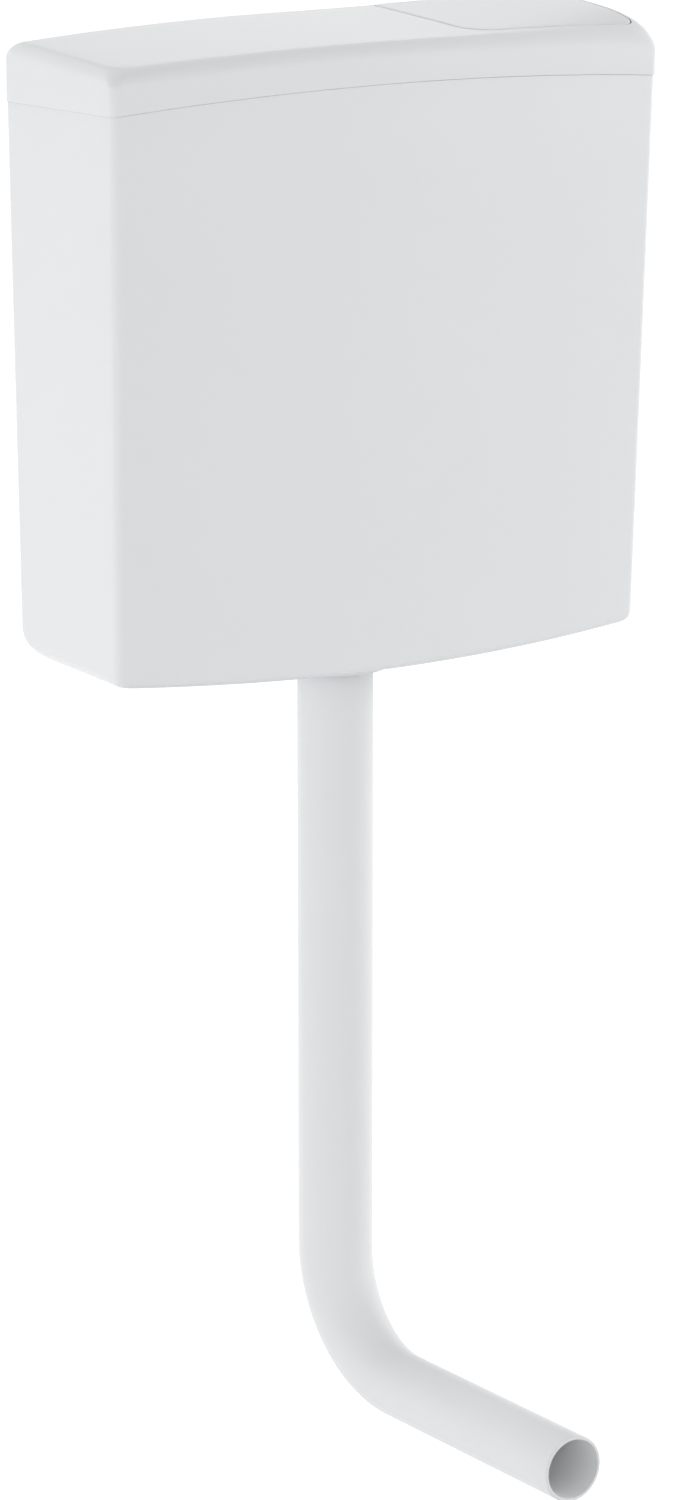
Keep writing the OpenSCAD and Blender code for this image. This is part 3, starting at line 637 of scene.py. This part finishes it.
def make_key():
    inner = key_plan(-KEY_WALL)
    top = key_plan(-KEY_EDGE)
    rings = [laid(shrunk(inner, KEY_MIDDLE, s), key_z, -KEY_WALL) for s in KEY_FILLS]
    rings += [laid(inner, key_z, -KEY_WALL), laid(inner, lid_z, -KEY_SKIRT)]
    rings += [laid(key_plan(0), lid_z, -KEY_SKIRT)]
    for a in KEY_TURN:
        edge = key_plan(-KEY_EDGE * (1 - math.cos(a)))
        rings.append(laid(edge, key_z, -KEY_EDGE * (1 - math.sin(a))))
    rings += [laid(shrunk(top, KEY_MIDDLE, s), key_z) for s in reversed(KEY_FILLS)]
    ends = [(*KEY_MIDDLE, key_z(*KEY_MIDDLE) - t) for t in (KEY_WALL, 0)]
    key = skin("key_cap", rings, *ends)
    at = (PLUNGER_X, -OUTLET_Y)
    boss_z = AXLE_Z - AXLE_R
    adds = [cylinder("boss", KEY_BOSS_R, (*at, boss_z), (*at, key_z(*at) - KEY_WALL / 2))]
    for y in (-KEY_BACK - EAR_IN, -KEY_FRONT + EAR_IN):
        near, far = y - EAR_HT, y + EAR_HT
        top_z = key_z(AXLE_X, y) - KEY_WALL / 2
        adds.append(box_object("ear", (AXLE_X - EAR_R, near, AXLE_Z), (AXLE_X + EAR_R, far, top_z)))
        ear_ends = [(AXLE_X, near, AXLE_Z), (AXLE_X, far, AXLE_Z)]
        adds.append(cylinder("ear_end", EAR_R, *ear_ends, PIN_N))
    combine(key, adds, "UNION")
    bore_ys = (-KEY_BACK - EAR_BORE_IN, -KEY_FRONT + EAR_BORE_IN)
    bore = cylinder("bore", BORE_R, *[(AXLE_X, y, AXLE_Z) for y in bore_ys], PIN_N)
    stud = cylinder("stud", STUD_HOLE_R, (*at, boss_z - 1), (*at, boss_z + STUD_HOLE_H), PIN_N)
    combine(key, [bore, stud], "DIFFERENCE")
    finish_piece(key, KEY_WHITE, "flush_key", "flush_key")


# Flush pipe: straight drop, tapered bend and leg, swept as one tube with rounded ends
SPIGOT_DOWN = 11.6
GROOVE_UP = 2.5
GROOVE_H = 6
PIPE_UP = 5
PIPE_TOP = PAD_LO - SPIGOT_DOWN + GROOVE_UP + GROOVE_H + PIPE_UP
DROP_N = 12
BEND_N = 40
LEG_N = 8
PIPE_SHARP = 60
END_ROUND = 0.6
MOUTH_ROUND = 1.3
MOUTH_IN = LEG_R - PIPE_WALL
MOUTH_IN_ROUND = 0.8


def pipe_section(along, r):
    """Ring of radius r at a height on the drop, an angle in the bend or a length on the leg."""
    part, value = along
    turn = {"drop": 0.0, "bend": math.radians(value), "leg": math.pi / 2}[part]
    y = -BEND_R + BEND_R * math.cos(turn) - (value if part == "leg" else 0.0)
    z = -PIPE_DROP - BEND_R * math.sin(turn) + (value if part == "drop" else 0.0)
    ring = []
    for j in range(PIPE_N):
        a = 2 * math.pi * j / PIPE_N
        px, radial = r * math.cos(a), r * math.sin(a)
        py, pz = y + radial * math.cos(turn), z - radial * math.sin(turn)
        x = px * math.cos(LEG_TURN) - py * math.sin(LEG_TURN)
        ring.append((x, px * math.sin(LEG_TURN) + py * math.cos(LEG_TURN) - OUTLET_Y, pz))
    return ring


def pipe_rows():
    """Places and radii down the outside of the pipe, and those back up its inside."""
    length = PIPE_TOP + PIPE_DROP
    drop = [("drop", length * (1 - k / DROP_N)) for k in range(DROP_N)]
    bend = [("bend", 90 * k / BEND_N) for k in range(BEND_N + 1)]
    leg = [("leg", LEG_LEN * k / LEG_N) for k in range(1, LEG_N + 1)]
    rows = []
    for part, value in drop + bend + leg:
        narrowing = {"drop": 0.0, "bend": value / 90, "leg": 1.0}[part]
        rows.append(((part, value), PIPE_R + (LEG_R - PIPE_R) * narrowing))
    inner = [(p, r - PIPE_WALL) for p, r in reversed(rows)]
    top, below = rows[0][0], ("drop", length - END_ROUND)
    outer = [(top, PIPE_R - END_ROUND), (below, PIPE_R)] + rows[1:-1]
    back = inner[1:-1] + [(below, PIPE_R - PIPE_WALL), (top, PIPE_R - PIPE_WALL + END_ROUND)]
    return outer + mouth_rows(), back


def mouth_rows():
    """Open end of the leg, with its outer and inner edge rounded."""
    rows = []
    for a in MOUTH_TURN:
        along = LEG_LEN - MOUTH_ROUND * (1 - math.sin(a))
        rows.append((("leg", along), LEG_R - MOUTH_ROUND * (1 - math.cos(a))))
    for a in MOUTH_TURN:
        along = LEG_LEN - MOUTH_IN_ROUND * (1 - math.cos(a))
        rows.append((("leg", along), MOUTH_IN + MOUTH_IN_ROUND * (1 - math.sin(a))))
    return rows


def make_pipe():
    outside, inside = pipe_rows()
    rings = [pipe_section(p, r) for p, r in outside + inside]
    points = [p for ring in rings for p in ring]
    faces = [tuple(reversed(f)) for f in bands(len(rings), PIPE_N, True)]
    pipe = mesh_object("pipe_tube", points, faces, PIPE_SHARP)
    finish_piece(pipe, PIPE_WHITE, "flush_pipe", "flush_pipe")
    # The inside faces take the lighter copy of the pipe plastic: painted light in the shaded bore.
    pipe.data.materials.append(PIPE_BORE_PAINTED_LIGHT)
    first_inside = (len(outside) - 1) * PIPE_N
    for face in pipe.data.polygons[first_inside:]:
        face.material_index = 1


# Fill valve body: head, guide column and inlet stub with its thread
LINER_GAP = 0.5
LINER_T = 10.0
FLOAT_R = 27.0
FLOAT_GAP = 4.0
FILL_X = HALF_0 - WALL - LINER_GAP - LINER_T - FLOAT_R - FLOAT_GAP
HEAD_R = 15
HEAD_DOWN = 15
HEAD_UP = 18
COLUMN_R = 9
COLUMN_BORE_R = 6
COLUMN_H = 150
STOP_R = 12.5
STOP_AT = (132, 128)
STUB_FLANGE_R = INLET_R + 5.5
STUB_FLANGE_T = 3
STUB_BORE_R = INLET_R - 4
GROOVE_R = INLET_R - 0.8
INLET_END = BOSS_OUT + 20.0
WASHER_IN = BOSS_IN - 2.5
NUT_END = BOSS_OUT + 8.0
THREAD_PITCH = 1.814
THREAD_DEPTH = 1.0
THREAD_STEPS = 72
THREAD_SHARP = 75


def inlet_thread(start):
    """Stub whose radius follows a helix, run out at both ends."""
    length = INLET_END - start
    rings = []
    for i in range(THREAD_STEPS + 1):
        along = length * i / THREAD_STEPS
        lead = max(0.0, 1 - along, 1 - (length - along))
        ring = []
        for j in range(ROUND_N):
            a = 2 * math.pi * j / ROUND_N
            wave = abs(2 * ((along / THREAD_PITCH - j / ROUND_N) % 1.0) - 1)
            r = INLET_R - THREAD_DEPTH * max(wave, lead)
            y, z = -OUTLET_Y + r * math.cos(a), INLET_H + r * math.sin(a)
            ring.append((start + along, y, z))
        rings.append(ring)
    ends = [(x, -OUTLET_Y, INLET_H) for x in (start, INLET_END)]
    return skin("inlet_thread", rings, *ends, sharp=THREAD_SHARP)


def make_fill_valve():
    at = (FILL_X, -OUTLET_Y)
    inlet = (-OUTLET_Y, INLET_H)
    head_lo, head_hi = INLET_H - HEAD_DOWN, INLET_H + HEAD_UP
    column_lo = INLET_H - COLUMN_H
    stop_lo, stop_hi = [INLET_H - down for down in STOP_AT]
    flange = [(x, *inlet) for x in (WASHER_IN - STUB_FLANGE_T, WASHER_IN)]
    groove = [(x, *inlet) for x in (NUT_END - 1, NUT_END + 2)]
    body = cylinder("fill_valve", HEAD_R, (*at, head_lo), (*at, head_hi), BIG_N)
    adds = [cylinder("column", COLUMN_R, (*at, column_lo), (*at, INLET_H))]
    adds.append(cylinder("stop", STOP_R, (*at, stop_lo), (*at, stop_hi)))
    adds.append(cylinder("stub", INLET_R, (FILL_X, *inlet), (NUT_END, *inlet)))
    adds.append(cylinder("flange", STUB_FLANGE_R, *flange))
    adds.append(cylinder("groove", GROOVE_R, *groove))
    adds.append(inlet_thread(NUT_END + 1))
    combine(body, adds, "UNION")
    stub_bore = [(FILL_X, *inlet), (INLET_END + 1, *inlet)]
    column_bore = [(*at, column_lo - 1), (*at, head_hi + 1)]
    cuts = [cylinder("inlet_bore", STUB_BORE_R, *stub_bore, BORE_N)]
    cuts.append(cylinder("column_bore", COLUMN_BORE_R, *column_bore, BORE_N))
    combine(body, cuts, "DIFFERENCE")
    finish_piece(body, VALVE, "tank", "fill_valve_body")


# Inner pieces: copies of the CAD pieces with rounded edges
SOFT_EDGES = {
    "key_plunger": 0.4, "lever_bracket": 0.4, "lift_lever": 0.5, "lift_yoke": 0.5,
    "valve_seat": 0.4, "outlet_nut": 0.5, "valve_basket": 0.4, "overflow_tube": 0.4,
    "seal_retainer": 0.4, "inlet_nut": 0.4, "fill_valve_cap": 0.4, "float_arm": 0.4,
    "key_axle": 0.3, "lever_pin": 0.3, "arm_pin": 0.3, "float_rod": 0.3,
    "valve_float": 1.5, "float_cup": 1.5,
}
EDGE_ANGLE = math.radians(SHARP)
FLAT_ANGLE = math.radians(1)
MERGE_M = 1e-6


def soften(node, width, body, slot):
    """Copy of a CAD piece with its edges rounded by width millimetres."""
    mesh = frame["nodes"][node].data.copy()
    bm = bmesh.new()
    bm.from_mesh(mesh)
    bmesh.ops.remove_doubles(bm, verts=bm.verts, dist=MERGE_M)
    bmesh.ops.dissolve_limit(bm, angle_limit=FLAT_ANGLE, verts=bm.verts, edges=bm.edges)
    pairs = [e for e in bm.edges if len(e.link_faces) == 2]
    edges = [e for e in pairs if e.calc_face_angle() > EDGE_ANGLE]
    bmesh.ops.bevel(bm, geom=edges, offset=width * MM, offset_type="OFFSET", segments=2,
                    profile=0.5, affect="EDGES", clamp_overlap=True)
    bm.to_mesh(mesh)
    bm.free()
    mesh.shade_smooth()
    mesh.set_sharp_from_angle(angle=EDGE_ANGLE)
    obj = bpy.data.objects.new(node + "_moulded", mesh)
    bpy.context.scene.collection.objects.link(obj)
    flats = obj.modifiers.new("flat_faces", "WEIGHTED_NORMAL")
    flats.keep_sharp = True
    finish_piece(obj, SLOT_MATERIALS[slot], body, node)


def soften_inner_pieces():
    record = frame["record"]
    slots = {part["node"]: part["material_slot"] for part in record["subparts"]}
    members = record["behaviour"]["bodies"]
    bodies = {node: body for body, nodes in members.items() for node in nodes}
    for node, width in SOFT_EDGES.items():
        soften(node, width, bodies[node], slots[node])


# Light, floor and camera; the camera stands in the CAD's millimetres, lamps and floor in metres
CAM_YAW = math.radians(31.072)
CAM_PITCH = math.radians(13.991)
CAM_AT = (-1871.173, -3194.198, 831.146)
FOCAL_PX = 5713.0
FRAME_LONG_PX = 1500.0
SENSOR = 36.0
CLIP = (0.1, 100.0)
FLOOR_Z = -1.25
FLOOR_HALF = 30.0
FLOOR_GREY = 0.64
FLOOR_GLOW = 0.7
SKY_TURN = (0.25, 0.42)
SKY_LOW = 1.04
SKY_HIGH = 0.52
MIDDLE = (0.0, -0.07, -0.2)


def look(yaw, pitch):
    """Direction for a heading to the right of +Y and a downward pitch."""
    flat = math.cos(pitch)
    return Vector((math.sin(yaw) * flat, math.cos(yaw) * flat, -math.sin(pitch)))


def make_camera():
    data = bpy.data.cameras.new("camera")
    data.sensor_width = SENSOR
    data.lens = FOCAL_PX / FRAME_LONG_PX * SENSOR
    data.clip_start, data.clip_end = CLIP
    cam = bpy.data.objects.new("camera", data)
    cam.location = place(CAM_AT)
    cam.rotation_mode = "QUATERNION"
    cam.rotation_quaternion = look(CAM_YAW, CAM_PITCH).to_track_quat("-Z", "Y")
    bpy.context.scene.collection.objects.link(cam)
    bpy.context.scene.camera = cam


def area(name, at, size, power):
    """Square lamp that faces the object's middle; glossy surfaces don't mirror it."""
    data = bpy.data.lights.new(name, "AREA")
    data.size = size
    data.energy = power
    lamp = bpy.data.objects.new(name, data)
    lamp.location = at
    lamp.visible_glossy = False
    lamp.rotation_mode = "QUATERNION"
    lamp.rotation_quaternion = (Vector(MIDDLE) - Vector(at)).to_track_quat("-Z", "Y")
    bpy.context.scene.collection.objects.link(lamp)


def make_world():
    """Studio sky: white round the horizon and darker overhead."""
    world = bpy.data.worlds.new("world")
    bpy.context.scene.world = world
    world.use_nodes = True
    nodes, links = world.node_tree.nodes, world.node_tree.links
    sky = nodes["Background"]
    coords = nodes.new("ShaderNodeTexCoord")
    height = nodes.new("ShaderNodeSeparateXYZ")
    links.new(coords.outputs["Generated"], height.inputs["Vector"])
    shade = nodes.new("ShaderNodeMapRange")
    shade.interpolation_type = "SMOOTHSTEP"
    shade.inputs["From Min"].default_value = SKY_TURN[0]
    shade.inputs["From Max"].default_value = SKY_TURN[1]
    shade.inputs["To Min"].default_value = SKY_LOW
    shade.inputs["To Max"].default_value = SKY_HIGH
    links.new(height.outputs["Z"], shade.inputs["Value"])
    sky.inputs["Color"].default_value = (1, 1, 1, 1)
    links.new(shade.outputs["Result"], sky.inputs["Strength"])


def background_rays(nodes, links):
    """1 for rays that show the background: from the camera, mirrored, or through a clear piece."""
    path = nodes.new("ShaderNodeLightPath")
    value = path.outputs["Is Camera Ray"]
    for ray in ("Is Glossy Ray", "Is Transmission Ray"):
        step = nodes.new("ShaderNodeMath")
        step.operation = "MAXIMUM"
        links.new(value, step.inputs[0])
        links.new(path.outputs[ray], step.inputs[1])
        value = step.outputs["Value"]
    return value


def make_floor():
    """White floor that takes the shadow and glows for the rays that show the background."""
    mesh = bpy.data.meshes.new("floor")
    r = FLOOR_HALF
    corners = [(-r, -r, FLOOR_Z), (r, -r, FLOOR_Z), (r, r, FLOOR_Z), (-r, r, FLOOR_Z)]
    mesh.from_pydata(corners, [], [(0, 1, 2, 3)])
    floor = bpy.data.objects.new("floor", mesh)
    bpy.context.scene.collection.objects.link(floor)
    mat, nodes, links, shader = node_material("floor_white")
    shader.inputs["Base Color"].default_value = (FLOOR_GREY, FLOOR_GREY, FLOOR_GREY, 1)
    shader.inputs["Roughness"].default_value = 1.0
    shader.inputs["Specular IOR Level"].default_value = 0.0
    shader.inputs["Emission Color"].default_value = (1, 1, 1, 1)
    glow = nodes.new("ShaderNodeMapRange")
    glow.inputs["To Max"].default_value = FLOOR_GLOW
    links.new(background_rays(nodes, links), glow.inputs["Value"])
    links.new(glow.outputs["Result"], shader.inputs["Emission Strength"])
    floor.data.materials.append(mat)


dress_cad_nodes()
make_tank()
make_lid()
make_key()
make_pipe()
make_fill_valve()
soften_inner_pieces()
make_camera()
make_world()
make_floor()
area("left_light", (-3.6, -0.1, -0.55), 1.3, 34.7)
area("front_light", (2.1, -2.95, 0.5), 3.0, 33.3)
area("right_light", (3.5, 0.0, 0.4), 3.0, 27.5)
area("back_light", (0.3, 2.7, 2.2), 2.4, 46.0)

bpy.context.scene.view_settings.view_transform = "Standard"
